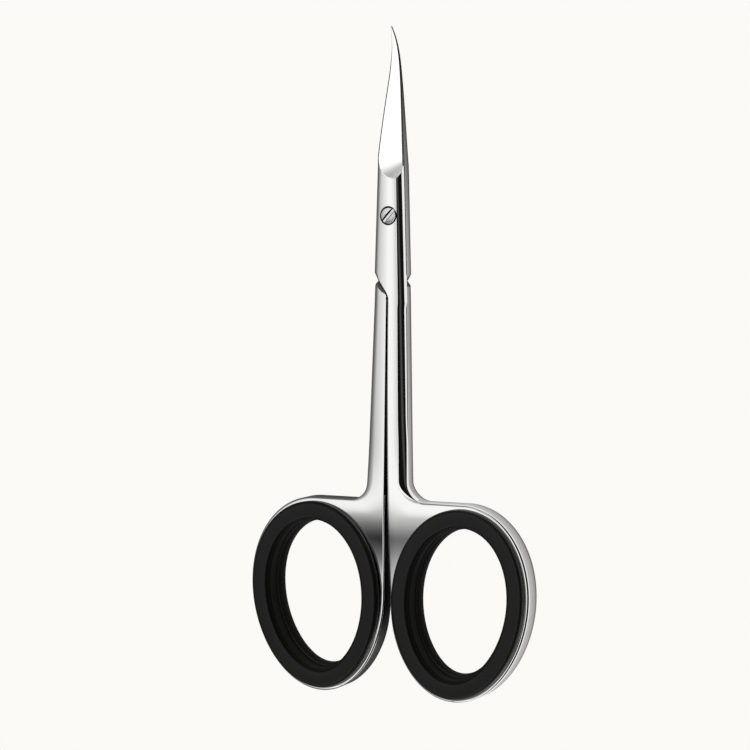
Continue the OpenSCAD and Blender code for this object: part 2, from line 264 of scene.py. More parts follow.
def mirror_polished_steel():
    """Stainless steel buffed to a mirror: sharp reflections, with a faint
    cloud of wiping marks in its gloss"""
    material, tree, shader = new_material("mirror_polished_steel")
    cloud = stretched_grain(tree, (3.0, 9.0, 3.0), 2.0)
    gloss = add_node(tree, "ShaderNodeMapRange", {
        "Value": cloud.outputs["Fac"], "From Min": 0.3, "From Max": 0.7,
        "To Min": 0.04, "To Max": 0.07,
    })
    shader.inputs["Base Color"].default_value = linear("#F0F0EF")
    shader.inputs["Metallic"].default_value = 1.0
    tree.links.new(gloss.outputs["Result"], shader.inputs["Roughness"])
    return material


def belt_brushed_steel():
    """Stainless steel edges finished on a belt: grey, with fine lines that run along the edge.
    Painted shade darkens it towards the tips and towards the back, and on the walls
    that face each other between the shanks"""
    material, tree, shader = new_material("belt_brushed_steel")
    grain = stretched_grain(tree, (1.2, 1.2, 0.06), 5.0)
    tone = add_node(tree, "ShaderNodeValToRGB", {"Fac": grain.outputs["Fac"]})
    fill_ramp(tone, [(0.3, 0.5), (0.7, 0.72)])
    place = add_node(tree, "ShaderNodeTexCoord").outputs["Object"]
    parts = add_node(tree, "ShaderNodeSeparateXYZ", {"Vector": place})
    # Painted shade: the walls darken towards the tips
    height = add_node(tree, "ShaderNodeMapRange", {
        "Value": parts.outputs["Y"],
        "From Min": -TOTAL_LENGTH / 2 * MM, "From Max": TOTAL_LENGTH / 2 * MM,
    })
    depth = add_node(tree, "ShaderNodeValToRGB", {"Fac": height.outputs["Result"]})
    fill_ramp(depth, [
        (0.3, 0.86), (0.36, 0.9), (0.7, 0.84), (0.8, 0.52), (0.92, 0.36), (1.0, 0.18),
    ])
    tone = add_node(tree, "ShaderNodeMix", {
        "Factor": 1.0, "A": tone.outputs["Color"], "B": depth.outputs["Color"],
    }, data_type="RGBA", blend_type="MULTIPLY")
    # Painted shade on the walls that face each other between the shanks, below the joint
    aside = add_node(tree, "ShaderNodeMath", {0: parts.outputs["X"]}, operation="ABSOLUTE")
    gap_shade = add_node(tree, "ShaderNodeMapRange", {
        "Value": aside.outputs["Value"], "From Min": 0.4 * MM, "From Max": 2.2 * MM,
        "To Min": 0.12, "To Max": 1.0,
    })
    upper = add_node(tree, "ShaderNodeMapRange", {
        "Value": parts.outputs["Y"], "From Min": 10.0 * MM, "From Max": 10.6 * MM,
    })
    gap_shade = add_node(tree, "ShaderNodeMath", {
        0: gap_shade.outputs["Result"], 1: upper.outputs["Result"],
    }, operation="MAXIMUM")
    tone = add_node(tree, "ShaderNodeMix", {
        "Factor": 1.0, "A": tone.outputs["Result"], "B": gap_shade.outputs["Value"],
    }, data_type="RGBA", blend_type="MULTIPLY")
    # Painted shade: the walls darken towards the back edge
    rise = add_node(tree, "ShaderNodeMapRange", {
        "Value": parts.outputs["Z"],
        "From Min": (INSERT_T - METAL_T) / 2 * MM, "From Max": (INSERT_T + METAL_T) / 2 * MM,
    })
    painted_underside_shade = add_node(tree, "ShaderNodeValToRGB", {"Fac": rise.outputs["Result"]})
    fill_ramp(painted_underside_shade, [(0.12, 0.07), (0.24, 0.55), (0.45, 0.75), (0.8, 1.0)])
    tone = add_node(tree, "ShaderNodeMix", {
        "Factor": 1.0, "A": tone.outputs["Result"], "B": painted_underside_shade.outputs["Color"],
    }, data_type="RGBA", blend_type="MULTIPLY")
    gloss = add_node(tree, "ShaderNodeMapRange", {
        "Value": grain.outputs["Fac"], "From Min": 0.3, "From Max": 0.7,
        "To Min": 0.26, "To Max": 0.38,
    })
    lines = add_node(tree, "ShaderNodeBump", {
        "Height": grain.outputs["Fac"], "Strength": 0.12, "Distance": 0.00002,
    })
    shader.inputs["Metallic"].default_value = 1.0
    tree.links.new(tone.outputs["Result"], shader.inputs["Base Color"])
    tree.links.new(gloss.outputs["Result"], shader.inputs["Roughness"])
    tree.links.new(lines.outputs["Normal"], shader.inputs["Normal"])
    return material


def painted_shade_steel():
    """Near-black steel painted where shade falls: in narrow recesses, along the gap and corner of
    the joint, on the back edges and on the slot's walls
    """
    material, tree, shader = new_material("painted_shade_steel")
    shader.inputs["Base Color"].default_value = linear("#2B2B2B")
    shader.inputs["Metallic"].default_value = 1.0
    shader.inputs["Roughness"].default_value = 0.5
    return material


def wheel_ground_steel():
    """Stainless steel ground on a fine wheel: bright and satin, with lines
    across the blade"""
    material, tree, shader = new_material("wheel_ground_steel")
    grain = stretched_grain(tree, (2.0, 0.07, 2.0), 9.0)
    gloss = add_node(tree, "ShaderNodeMapRange", {
        "Value": grain.outputs["Fac"], "From Min": 0.3, "From Max": 0.7,
        "To Min": 0.16, "To Max": 0.24,
    })
    lines = add_node(tree, "ShaderNodeBump", {
        "Height": grain.outputs["Fac"], "Strength": 0.06, "Distance": 0.00002,
    })
    shader.inputs["Base Color"].default_value = linear("#F4F4F3")
    shader.inputs["Metallic"].default_value = 1.0
    tree.links.new(gloss.outputs["Result"], shader.inputs["Roughness"])
    tree.links.new(lines.outputs["Normal"], shader.inputs["Normal"])
    return material


def turned_screw_steel():
    """Stainless screw, turned and tumbled: satin, with small dents and
    driver marks"""
    material, tree, shader = new_material("turned_screw_steel")
    dents = stretched_grain(tree, (0.35, 0.35, 0.35), 4.0)
    tone = add_node(tree, "ShaderNodeValToRGB", {"Fac": dents.outputs["Fac"]})
    fill_ramp(tone, [(0.3, 0.6), (0.7, 0.88)])
    marks = add_node(tree, "ShaderNodeBump", {
        "Height": dents.outputs["Fac"], "Strength": 0.35, "Distance": 0.00006,
    })
    shader.inputs["Metallic"].default_value = 1.0
    shader.inputs["Roughness"].default_value = 0.2
    tree.links.new(tone.outputs["Color"], shader.inputs["Base Color"])
    tree.links.new(marks.outputs["Normal"], shader.inputs["Normal"])
    return material


def moulded_silicone():
    """Black silicone rubber from a fine-blasted mould: satin, with a soft
    sheen and a very fine grain"""
    material, tree, shader = new_material("moulded_silicone")
    grain = stretched_grain(tree, (0.16, 0.16, 0.16), 7.0)
    patches = stretched_grain(tree, (5.0, 5.0, 5.0), 3.0)
    tone = add_node(tree, "ShaderNodeMix", {
        "Factor": patches.outputs["Fac"],
        "A": linear("#171716"), "B": linear("#1D1D1C"),
    }, data_type="RGBA")
    gloss = add_node(tree, "ShaderNodeMapRange", {
        "Value": patches.outputs["Fac"], "From Min": 0.3, "From Max": 0.7,
        "To Min": 0.32, "To Max": 0.42,
    })
    skin = add_node(tree, "ShaderNodeBump", {
        "Height": grain.outputs["Fac"], "Strength": 0.08, "Distance": 0.00003,
    })
    shader.inputs["IOR"].default_value = 1.42
    shader.inputs["Specular IOR Level"].default_value = 0.35
    tree.links.new(tone.outputs["Result"], shader.inputs["Base Color"])
    tree.links.new(gloss.outputs["Result"], shader.inputs["Roughness"])
    tree.links.new(skin.outputs["Normal"], shader.inputs["Normal"])
    return material


def lean(x, y):
    """Turns a point of the upright oval by the bow's lean, top outward"""
    return Vector((
        x * math.cos(BOW_LEAN) + y * math.sin(BOW_LEAN),
        y * math.cos(BOW_LEAN) - x * math.sin(BOW_LEAN),
    ))


# The bow's oval: half axes that give its height and width at its lean
BOW_WIDTH = (OVERALL_WIDTH - BOW_GAP) / 2
LEAN_C, LEAN_S = math.cos(BOW_LEAN) ** 2, math.sin(BOW_LEAN) ** 2
HALF_SQ_X, HALF_SQ_Y = (BOW_WIDTH / 2) ** 2, (BOW_HEIGHT / 2) ** 2
OVAL_A = math.sqrt((HALF_SQ_X * LEAN_C - HALF_SQ_Y * LEAN_S) / (LEAN_C - LEAN_S))
OVAL_B = math.sqrt((HALF_SQ_Y * LEAN_C - HALF_SQ_X * LEAN_S) / (LEAN_C - LEAN_S))
OVAL_IN = math.pi + math.atan(OVAL_B / OVAL_A * math.tan(BOW_LEAN))
OVAL_BOTTOM = 1.5 * math.pi + math.atan(OVAL_A / OVAL_B * math.tan(BOW_LEAN))


def oval_point(t):
    return lean(OVAL_A * math.cos(t) * (1 + BOW_EGG * math.sin(t)), OVAL_B * math.sin(t))


OVAL = [oval_point(math.radians(i)) for i in range(360)]
BOW_CENTRE = Vector((BOW_GAP / 2 - min(p.x for p in OVAL), -min(p.y for p in OVAL)))


def bow_point(t, out=0.0):
    """Point of the bow's outer edge at angle t, moved outward"""
    along = oval_point(t + 0.004) - oval_point(t - 0.004)
    outward = Vector((along.y, -along.x)).normalized()
    return BOW_CENTRE + oval_point(t) + out * outward


def pair_half(y):
    """Half width of the closed pair at height y, along its straight taper"""
    return SHANK_HALF + (ROOT_HALF - SHANK_HALF) * (y - SHANK_Y) / (ROOT_Y - SHANK_Y)


def along_blade(y):
    return (y - ROOT_Y) / (TOTAL_LENGTH - ROOT_Y)


def blade_half(y):
    f = along_blade(y)
    return ROOT_HALF + (TIP_HALF - ROOT_HALF) * f + 4 * BACK_BULGE * f * (1 - f)


def back_half(y):
    """Half width at the back of a blade or of the joint"""
    if y < ROOT_Y:
        return pair_half(y) + JOINT_PROUD
    return blade_half(y) + JOINT_PROUD * (1 - along_blade(y))


def bend(r):
    """The blades' bend at radius r from the pivot, towards the rear"""
    f = max(0.0, r - BEND_START) / (BLADE_LENGTH - BEND_START)
    return BELLY * f ** 1.4 - (BELLY + HOOK) * f ** 8


def flat_height(y):
    return FLAT_ROOT + (FLAT_TIP - FLAT_ROOT) * along_blade(y)


def inner_face(side, r):
    """Height of a half's inner face at radius r from the pivot"""
    return LAP_CLEARANCE / 2 - side * bend(min(r, BLADE_LENGTH))


def mix(a, b, share):
    return a + (b - a) * share


def ease(low, high, value):
    """Smooth rise from 0 at the low end to 1 at the high end"""
    share = max(0.0, min(1.0, (value - low) / (high - low)))
    return share * share * (3 - 2 * share)


def face_fall(side, face, x, y):
    """How far a face lies below the plate's full thickness: its crown over
    the closed pair, and the dish where the shank spreads into the bow"""
    half = pair_half(max(y, SHANK_Y))
    if face == -side:
        crown_share = BACK_CROWN
    else:
        crown_share = 1.0
    crown = 0.5 * crown_share * CROWN_TILT * min(abs(x), 1.2 * half) ** 2 / half
    start, steep, end = DISH_Y
    slope = math.tan(DISH_SLOPE[side])
    if y > steep:
        depth = 0.5 * slope * max(0.0, start - y) ** 2 / (start - steep)
    else:
        run = min(steep - y, steep - end)
        depth = slope * (0.5 * (start - steep) + run - 0.5 * run ** 2 / (steep - end))
    dish = depth * ease(*DISH_FOOT, y) * (1 - ease(*DISH_SIDE, x))
    return crown * ease(*CROWN_FADE, y) + dish


def between(y, table):
    """Looks y up in a table of (y, value, ...) rows, straight between rows"""
    for low, high in zip(table, table[1:]):
        if y <= high[0]:
            share = max(0.0, (y - low[0]) / (high[0] - low[0]))
            return [mix(a, b, share) for a, b in zip(low[1:], high[1:])]
    return list(table[-1][1:])


def steps(start, end, count):
    return [mix(start, end, i / count) for i in range(count)]


INNER_START = bow_point(OVAL_IN).y
CORNER_LOW = SHOULDER_Y - CORNER_BELOW
CORNER_HIGH = SHOULDER_Y + CORNER_ABOVE


def inner_x(y, side):
    """Edge of a half along the gap between the shanks"""
    f = (CORNER_LOW - y) / (CORNER_LOW - INNER_START)
    shift = GAP_SHIFT * 4 * f * (1 - f) + GAP_LEAN * max(0.0, 1 - f) ** 3
    return SHANK_GAP / 2 + (BOW_GAP - SHANK_GAP) / 2 * f ** 3 - side * shift


def shank_shift(y):
    """How far the closed shanks lean to the rear half's side"""
    share = max(0.0, min(1.0, (CORNER_LOW - y) / (CORNER_LOW - SHANK_Y)))
    return SHANK_LEAN * share * ease(BOW_HEIGHT, SHANK_Y, y)


def corner_points(side):
    """Rounded corner between the gap and the slanting shoulder"""
    start = Vector((inner_x(CORNER_LOW, side), CORNER_LOW))
    turn = start + Vector((0, CORNER_TURN))
    end = Vector((start.x - CORNER_WIDTH, CORNER_HIGH))
    return [start.lerp(turn, i / 8).lerp(turn.lerp(end, i / 8), i / 8) for i in range(9)]


def inner_line(side):
    """A half's edge across the joint, as rows of height, x, and width and
    depth of the softened edge"""
    rows = [(p.y, p.x, *CORNER_EDGE) for p in corner_points(side)]
    rows[0] = (*rows[0][:2], *GAP_EDGE)
    top = NOTCH_Y + NOTCH_UPPER[side]
    return rows + [
        (NOTCH_Y - 0.3, mix(rows[-1][1], NOTCH_DEPTH[side] - pair_half(NOTCH_Y), (
            NOTCH_Y - 0.3 - CORNER_HIGH) / (NOTCH_Y - CORNER_HIGH)), *CORNER_EDGE),
        (NOTCH_Y, NOTCH_DEPTH[side] - pair_half(NOTCH_Y), *NOTCH_EDGE),
        (top, -back_half(top), *ROUNDED_EDGE),
        (ROOT_Y, -back_half(ROOT_Y), *ROUNDED_EDGE),
    ]


def outlines(side):
    """The half's outer and inner outline from the bottom of the bow to the
    tip, in step, each as rows of x, y, edge width and edge depth"""
    inward = round(BOW_STEPS * (OVAL_BOTTOM - OVAL_IN) / math.pi)
    rise = [BOW_HEIGHT - 1.6, BOW_HEIGHT - 0.8, SHANK_Y]
    heights = steps(SHANK_Y, CORNER_LOW, SHANK_STEPS)
    line = inner_line(side)
    turns = [row[0] for row in line]
    for low, high in zip(turns, turns[1:]):
        heights += steps(low, high, max(2, round(JOINT_STEPS * (high - low) / 18)))
    blade = steps(ROOT_Y, TOTAL_LENGTH, BLADE_STEPS) + [TOTAL_LENGTH]
    outer, inner = [], []
    for i in range(BOW_STEPS):
        p = bow_point(OVAL_BOTTOM + math.pi * i / BOW_STEPS)
        outer.append((p.x, p.y, *BOW_EDGE))
    top = bow_point(OVAL_BOTTOM + math.pi)
    for x in steps(top.x, SHANK_HALF + FILLET_R, LINE_STEPS):
        outer.append((x, BOW_HEIGHT, *BOW_EDGE))
    for i in range(FILLET_STEPS):
        t = math.pi * (1.5 - 0.5 * i / FILLET_STEPS)
        edge = [mix(a, b, i / FILLET_STEPS) for a, b in zip(BOW_EDGE, SHANK_EDGE[side])]
        y = SHANK_Y + FILLET_R * math.sin(t)
        x = SHANK_HALF + FILLET_R * (1 + math.cos(t)) - side * shank_shift(y)
        outer.append((x, y, *edge))
    for y in heights:
        share = (y - SHANK_Y) / (ROOT_Y - SHANK_Y)
        edge = [mix(a, b, share) for a, b in zip(SHANK_EDGE[side], JOINT_EDGE)]
        outer.append((pair_half(y) - side * shank_shift(y), y, *edge))
    for i in range(1, inward + 1):
        share = (i - 0.96) / (inward - 0.96)
        p = bow_point(OVAL_BOTTOM - (OVAL_BOTTOM - OVAL_IN) * share)
        edge = [mix(a, b, share) for a, b in zip(BOW_EDGE, WIDE_GAP_EDGE)]
        inner.append((p.x, p.y, *edge))
    inner_heights = (
        steps(INNER_START, rise[0], BOW_STEPS - inward + 1)[1:]
        + steps(rise[0], rise[1], LINE_STEPS)
        + steps(rise[1], rise[2], FILLET_STEPS)
        + heights
    )
    for y in inner_heights:
        if y < CORNER_LOW:
            share = ease(SHANK_Y - 2, CORNER_LOW, y)
            edge = [mix(a, b, share) for a, b in zip(WIDE_GAP_EDGE, GAP_EDGE)]
            inner.append((inner_x(y, side), y, *edge))
        else:
            x, width, depth = between(y, line)
            inner.append((x, y, width, depth))
    for y in blade:
        share = max(0.0, 1 - 8 * along_blade(y))
        edge = [size * share for size in JOINT_EDGE]
        outer.append((blade_half(y) - EDGE_SETBACK * (1 - along_blade(y)), y, *edge))
        edge = [size * share for size in ROUNDED_EDGE]
        inner.append((-back_half(y), y, *edge))
    return outer, inner


def inward_vectors(outer, inner):
    """For each outline point, the move that takes it one millimetre inward"""
    ring = outer + inner[::-1]
    moves = []
    for i, here in enumerate(ring):
        before, after = ring[i - 1], ring[(i + 1) % len(ring)]
        a = (Vector(here[:2]) - Vector(before[:2])).normalized()
        b = (Vector(after[:2]) - Vector(here[:2])).normalized()
        normal = Vector((-a.y, a.x))
        middle = (normal + Vector((-b.y, b.x))).normalized()
        moves.append(middle / max(0.5, middle.dot(normal)))
    return moves[:len(outer)], moves[len(outer):][::-1]


def edge_profile(power):
    """Softened edge as (share of its width, share of its depth) from the side
    wall to the face"""
    rows = []
    for k in range(EDGE_STEPS + 1):
        q = 0.5 * math.pi * k / EDGE_STEPS
        rows.append((
            1 - max(0.0, math.cos(q)) ** (2 / power),
            1 - math.sin(q) ** (2 / power),
        ))
    return rows


def bent_grid(columns, rows, place):
    """A grid of faces bent into place, with meeting points welded"""
    bm = bmesh.new()
    bmesh.ops.create_grid(bm, x_segments=columns, y_segments=rows, size=1)
    for vert in bm.verts:
        vert.co = place(
            round((vert.co.x + 1) / 2 * columns), round((vert.co.y + 1) / 2 * rows)
        )
    bmesh.ops.remove_doubles(bm, verts=bm.verts, dist=1e-5)
    return bm


def finish_piece(bm, name, materials):
    """Closes open ends in the walls' finish, points the faces outwards and
    makes the object"""
    rims = [edge for edge in bm.edges if edge.is_boundary]
    if rims:
        for face in bmesh.ops.holes_fill(bm, edges=rims, sides=0)["faces"]:
            face.material_index = min(BRUSHED, len(materials) - 1)
            face.smooth = True
    bmesh.ops.recalc_face_normals(bm, faces=bm.faces)
    mesh = bpy.data.meshes.new(name)
    bm.to_mesh(mesh)
    bm.free()
    piece = bpy.data.objects.new(name, mesh)
    bpy.context.scene.collection.objects.link(piece)
    for material in materials:
        mesh.materials.append(material)
    return piece


def side_step(y):
    """Height and depth of the step in a shank's side"""
    if y > CORNER_LOW:
        return 0.0, 0.0
    share = max(0.0, (CORNER_LOW - y) / (CORNER_LOW - STEP_END))
    return (
        mix(*STEP_Z, min(1.0, share)),
        STEP_DEPTH * ease(0, 0.05, share) * (1 - ease(0.8, 1, share)),
    )


def plate_finish(side, face, edge_rows):
    """The finish of a face of the forged blank. edge_rows gives the height, x
    and width of the softened edge along the shoulder."""
    heights = [v.co.z for v in face.verts]
    centre = face.calc_center_median()
    # Painted shade on the corner and the edge along the shoulder
    if centre.x < 0.8 and CORNER_LOW + 0.35 < centre.y < NOTCH_Y:
        x, width = between(centre.y, edge_rows)
        if centre.x < x + width:
            return PAINTED_SHADE
    # Painted shade on the lowest part of the edge along the gap
    wall = max(heights) - min(heights) > WALL_LEAST or max(map(abs, heights)) < WALL_REACH
    if not wall and SHANK_Y - 2 < centre.y < CORNER_LOW:
        if centre.x < inner_x(centre.y, side) + 0.08:
            return PAINTED_SHADE
    # The side wall, but for its part above the step in a shank
    above_step = min(heights) > -0.1 and centre.x > 0.5 and centre.y > BOW_HEIGHT + 0.3
    if wall and not above_step:
        return BRUSHED
    # Painted shade on the softened edge at the back
    face.normal_update()
    if centre.z * -side > METAL_T / 2 - 0.5 and abs(face.normal.z) < 0.85:
        return PAINTED_SHADE
    return POLISHED


def crowned_plate(side, materials):
    """The forged blank: a plate with softened edges, slightly crowned faces
    and a shallow dish where the shank spreads into the bow"""
    outer, inner = outlines(side)
    outer_moves, inner_moves = inward_vectors(outer, inner)
    profile = edge_profile(ROUND_POWER)
    chamfer = edge_profile(CHAMFER_POWER) if side > 0 else profile
    last = len(profile) - 1
    half_loop = 2 * (last + 1) + FACE_STEPS - 1

    def face_point(i, k, face):
        o, n = Vector(outer[i][:2]), Vector(inner[i][:2])
        o_edge, n_edge = outer[i][2:], inner[i][2:]
        if face == -side:
            o_edge = [min(pair) for pair in zip(o_edge, BACK_EDGE)]
            n_edge = [min(pair) for pair in zip(n_edge, BACK_EDGE)]
        if face > 0:
            o += outer_moves[i] * side_step(outer[i][1])[1]
        o_in = o + outer_moves[i] * o_edge[0]
        n_in = n + inner_moves[i] * n_edge[0]
        if k <= last:
            blend = ease(BOW_HEIGHT, SHANK_Y, outer[i][1])
            share, drop = [mix(a, b, blend) for a, b in zip(profile[k], chamfer[k])]
            xy, fall = o.lerp(o_in, share), drop * o_edge[1]
        elif k >= half_loop - 1 - last:
            share, drop = profile[half_loop - 1 - k]
            xy, fall = n.lerp(n_in, share), drop * n_edge[1]
        else:
            xy, fall = o_in.lerp(n_in, (k - last) / FACE_STEPS), 0.0
        fall += face_fall(side, face, xy.x, xy.y)
        return Vector((xy.x, xy.y, face * (METAL_T / 2 - fall)))

    def place(i, k):
        k = k % (2 * half_loop + 2)
        if k < half_loop:
            return face_point(i, k, 1)
        if k < 2 * half_loop:
            return face_point(i, 2 * half_loop - 1 - k, -1)
        height, depth = side_step(outer[i][1])
        below = k == 2 * half_loop
        xy = Vector(outer[i][:2]) + (Vector((0, 0)) if below else outer_moves[i] * depth)
        return Vector((xy.x, xy.y, height + (-0.5 if below else 0.5) * max(depth, 0.01)))

    top = NOTCH_Y + NOTCH_UPPER[1]
    edge_rows = [(y, x, width) for x, y, width, depth in inner if SHOULDER_Y - 2 < y < top]
    bm = bent_grid(len(outer) - 1, 2 * half_loop + 2, place)
    for face in bm.faces:
        face.smooth = True
        face.material_index = plate_finish(side, face, edge_rows)
    return finish_piece(bm, "plate", materials)


def prism(points, low, high, materials, name):
    """A flat outline pulled up from one height to another"""
    bm = bmesh.new()
    base = bm.faces.new([bm.verts.new((x, y, low)) for x, y in points])
    pulled = bmesh.ops.extrude_face_region(bm, geom=[base])
    lifted = [v for v in pulled["geom"] if isinstance(v, bmesh.types.BMVert)]
    bmesh.ops.translate(bm, verts=lifted, vec=(0, 0, high - low))
    return finish_piece(bm, name, materials)


def turned(profile, materials, name="turned"):
    """A profile of (radius, height) turned about the screw's axis"""
    bm = bmesh.new()
    verts = [bm.verts.new((r, 0, z)) for r, z in profile]
    edges = [bm.edges.new(pair) for pair in zip(verts, verts[1:])]
    bmesh.ops.spin(
        bm, geom=verts + edges, cent=(0, 0, 0), axis=(0, 0, 1), angle=2 * math.pi,
        steps=ROUND_STEPS, use_merge=True,
    )
    bmesh.ops.remove_doubles(bm, verts=bm.verts, dist=1e-5)
    for face in bm.faces:
        face.smooth = True
    bmesh.ops.translate(bm, verts=bm.verts, vec=(0, PIVOT_Y, 0))
    return finish_piece(bm, name, materials)


def carve(piece, cutter, operation="DIFFERENCE"):
    """Cuts one solid with another, which is used up"""
    step = piece.modifiers.new("carve", "BOOLEAN")
    step.operation = operation
    step.solver = "EXACT"
    step.material_mode = "TRANSFER"
    step.object = cutter
    graph = bpy.context.evaluated_depsgraph_get()
    made = bpy.data.meshes.new_from_object(piece.evaluated_get(graph))
    piece.modifiers.clear()
    piece.data = made
    bpy.data.objects.remove(cutter)
    return piece


def behind_inner_face(side, materials):
    """Everything behind a half's inner face, turned about the pivot"""
    reach = BLADE_LENGTH + 2 * PAST
    rows = [(r, inner_face(side, r)) for r in steps(BEND_START, reach, BLADE_STEPS)]
    rows += [(reach, inner_face(side, reach)), (reach, -METAL_T), (0, -METAL_T)]
    return turned([(0, LAP_CLEARANCE / 2)] + rows, materials, "behind")


def shoulder_points(side):
    """Start and end of the slanting shoulder that bears the mate's joint"""
    corner = corner_points(-side)[-1]
    return (
        Vector((-corner.x, corner.y - SHOULDER_GAP)),
        Vector((pair_half(NOTCH_Y) - NOTCH_DEPTH[-side], NOTCH_Y - SHOULDER_GAP)),
    )


def lap_prism(side, materials):
    """Plan of the part of a half that is one layer thick, pulled up"""
    lower_y = NOTCH_Y - NOTCH_LOWER
    wide = OVERALL_WIDTH
    mate = [(-p.x, p.y - SHOULDER_GAP) for p in corner_points(-side)]
    own_x = inner_x(CORNER_LOW, side)
    points = [(-wide, CORNER_LOW - SHOULDER_GAP), (own_x, CORNER_LOW - SHOULDER_GAP)]
    points += [p for p in mate if p[0] > own_x + 0.02]
    points += [
        tuple(shoulder_points(side)[1]),
        (pair_half(lower_y) + 0.02, lower_y),
        (wide, lower_y),
        (wide, TOTAL_LENGTH + PAST),
        (-wide, TOTAL_LENGTH + PAST),
    ]
    return prism(points, -METAL_T + 0.5, 2 * METAL_T, materials, "lap")


def shoulder_bevel(side, materials):
    """Bevel between a slanting shoulder and the face beside it. Its section is
    a triangle, in widths of the bevel, that fades out past the corner."""
    start, end = shoulder_points(side)
    into = Vector((end.y - start.y, start.x - end.x)).normalized()
    bm = bmesh.new()
    beyond = start + (start - end).normalized() * 0.5
    for place, size in ((end, BEVEL_OUTER), (start, BEVEL_INNER), (beyond, 0.05)):
        for across, up in ((1.5, -0.42), (-0.5, -0.42), (-0.5, 1.25)):
            xy = place + into * across * size
            bm.verts.new((xy.x, xy.y, up * size - METAL_T / 2))
    bmesh.ops.convex_hull(bm, input=bm.verts)
    return finish_piece(bm, "bevel", materials)


def ground_height(side, x, y):
    """Height of the ground flat, with the wheel's run-out below it"""
    across = max(-ROOT_HALF, min(ROOT_HALF, x))
    start = RUNOUT_Y + WHEEL_YAW * across + WHEEL_BOW * across ** 2
    along = max(y, start)
    flat = inner_face(side, along - PIVOT_Y) + flat_height(along) - math.tan(FLAT_SLOPE) * x
    return flat + max(0.0, start - y) ** 2 / (2 * RUNOUT_R)


def ground_flat(side, materials):
    """The grinding wheel's path over the blade's outer face"""
    columns, rows = 150, 60
    low_y, high_y = RUNOUT_Y - 6, TOTAL_LENGTH + PAST
    wide = 2.6

    def place(i, k):
        k = k % (rows + 3)
        y = mix(low_y, high_y, i / columns)
        x = mix(-wide, wide, max(0, min(rows, k - 1)) / rows)
        if k in (0, rows + 2):
            z = METAL_T + PAST
        else:
            z = min(ground_height(side, x, y), METAL_T + 0.5 * PAST)
        return Vector((x, y, z))

    bm = bent_grid(columns, rows + 3, place)
    for face in bm.faces:
        face.smooth = True
    return finish_piece(bm, "flat", materials)


def spine_bevel(side, materials):
    """Bevel along the back of a blade, as a swept wedge"""
    columns = 80
    low_y, high_y = ROOT_Y - 1.5, TOTAL_LENGTH + PAST

    def place(i, k):
        y = mix(low_y, high_y, i / columns)
        share = max(0.08, min(1.0, (TOTAL_LENGTH - y) / SPINE_FADE))
        width, depth = SPINE_W * share, SPINE_DEPTH * share
        back = -back_half(min(y, TOTAL_LENGTH))
        top = ground_height(side, back + width, max(y, ROOT_Y))
        return Vector((
            (back + 2 * width, y, top + depth), (back - width, y, top + depth),
            (back - width, y, top - 2 * depth),
        )[k % 3])

    bm = bent_grid(columns, 3, place)
    return finish_piece(bm, "spine", materials)


def hole_prism(materials):
    """The bow's opening, which the finger insert lines"""
    points = [bow_point(math.radians(i * 2), -BOW_BAND) for i in range(180)]
    return prism(points, -METAL_T, METAL_T, materials, "hole")


def scissor_half(side, name, materials):
    """One half: bow, shank, lap and blade carved from the forged blank.
    side is 1 for the front half and -1 for the rear half."""
    polished, brushed, ground, shade_finish = materials
    piece = crowned_plate(side, [polished, brushed, shade_finish])
    # The lap's cut walls, the screw's seat and the bores take the painted shade
    lap = carve(behind_inner_face(side, [brushed]), lap_prism(side, [shade_finish]), "INTERSECT")
    carve(piece, lap)
    carve(piece, shoulder_bevel(side, [brushed]))
    carve(piece, ground_flat(side, [ground]))
    carve(piece, spine_bevel(side, [polished]))
    carve(piece, hole_prism([polished]))
    if side > 0:
        seat_r = HEAD_D / 2 + SEAT_CLEARANCE
        seat_z = METAL_T / 2 - HEAD_H + HEAD_PROUD - PIVOT_CLEARANCE
        bore_r = SCREW_D / 2 + PIVOT_CLEARANCE
        carve(piece, turned([
            (0, -METAL_T), (bore_r, -METAL_T), (bore_r, seat_z), (seat_r, seat_z),
            (seat_r, METAL_T / 2 - SEAT_RIM),
            (seat_r + SEAT_RIM + PAST, METAL_T / 2 + PAST), (0, METAL_T / 2 + PAST),
        ], [shade_finish]))
    else:
        bore_r = SCREW_D / 2 - THREAD_BITE
        carve(piece, turned([
            (0, -METAL_T), (bore_r, -METAL_T), (bore_r, METAL_T), (0, METAL_T),
        ], [shade_finish]))
    piece.name = name
    return piece


def pivot_screw(material, slot_materials):
    """Screw with a rounded, slotted head. slot_materials are the finishes of
    the slot's walls and of its floor."""
    head_r = HEAD_D / 2
    dome_r = head_r - HEAD_ROUND
    top = METAL_T / 2 + HEAD_PROUD
    rows = [
        (0, END_RECESS - METAL_T / 2), (SCREW_D / 2 - 0.1, END_RECESS - METAL_T / 2),
        (SCREW_D / 2, END_RECESS - METAL_T / 2 + 0.1), (SCREW_D / 2, top - HEAD_H),
        (head_r, top - HEAD_H),
    ]
    for k in range(9):
        q = 0.5 * math.pi * k / 8
        rows.append((
            head_r - HEAD_ROUND * (1 - math.cos(q)),
            top - HEAD_DOME - HEAD_ROUND * (1 - math.sin(q)),
        ))
    for r in steps(dome_r, 0, 8)[1:] + [0]:
        rows.append((r, top - HEAD_DOME * (r / dome_r) ** 2))
    piece = turned(rows, [material], "screw")
    half = SLOT_W / 2
    left = [
        (-half, top - SLOT_DEPTH), (-half, top - SLOT_CHAMFER),
        (-half - SLOT_CHAMFER, top), (-half - SLOT_CHAMFER, top + PAST),
    ]
    right = [(-x, z) for x, z in left[::-1]]
    slot = prism(left + right, -HEAD_D, HEAD_D, slot_materials, "slot")
    # The slot's floor has the second finish
    for face in slot.data.polygons:
        face.material_index = int(face.normal.y < -0.9)
    lay = Matrix(((0, 0, 1, 0), (1, 0, 0, 0), (0, 1, 0, 0), (0, 0, 0, 1)))
    slot.data.transform(
        Matrix.Translation((0, PIVOT_Y, 0)) @ Matrix.Rotation(SLOT_ANGLE, 4, "Z") @ lay
    )
    carve(piece, slot)
    piece.name = "slotted_screw"
    return piece


